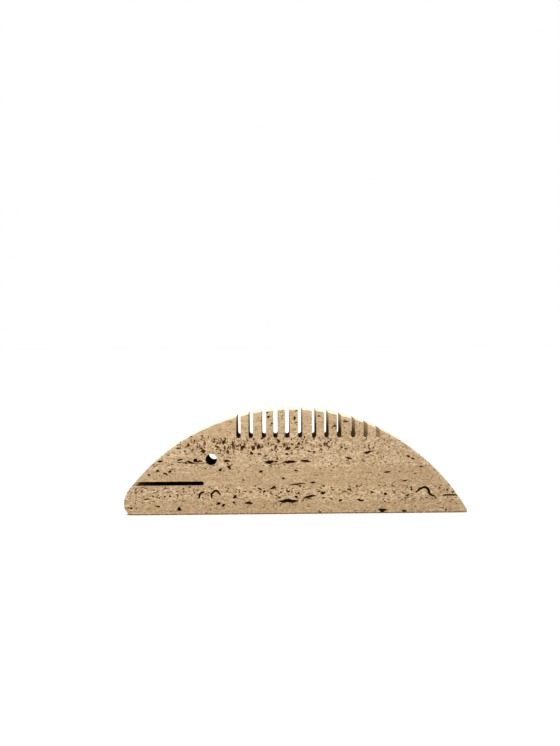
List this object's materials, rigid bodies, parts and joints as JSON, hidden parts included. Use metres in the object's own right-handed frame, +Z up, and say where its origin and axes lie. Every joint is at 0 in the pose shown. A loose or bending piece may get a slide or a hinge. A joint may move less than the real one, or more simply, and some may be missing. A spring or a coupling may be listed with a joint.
{
  "type": "comb-backed stone whale",
  "caption": "Half-moon whale cut from one slab of open-pored travertine: flat base, comb teeth sawn into the back, drilled eye, slot mouth and tail slit.",
  "frame": {"origin": "on the base, midway along the length and the thickness", "axes": "+X along the length from the snout to the tail, +Y through the thickness away from the viewer, +Z up from the base to the comb"},
  "size_m": [0.33, 0.03, 0.101],
  "materials": {
    "travertine": "honed, unfilled travertine with open pores"
  },
  "bodies": {
    "root": {"stone_body": "travertine"}
  },
  "joints": []
}
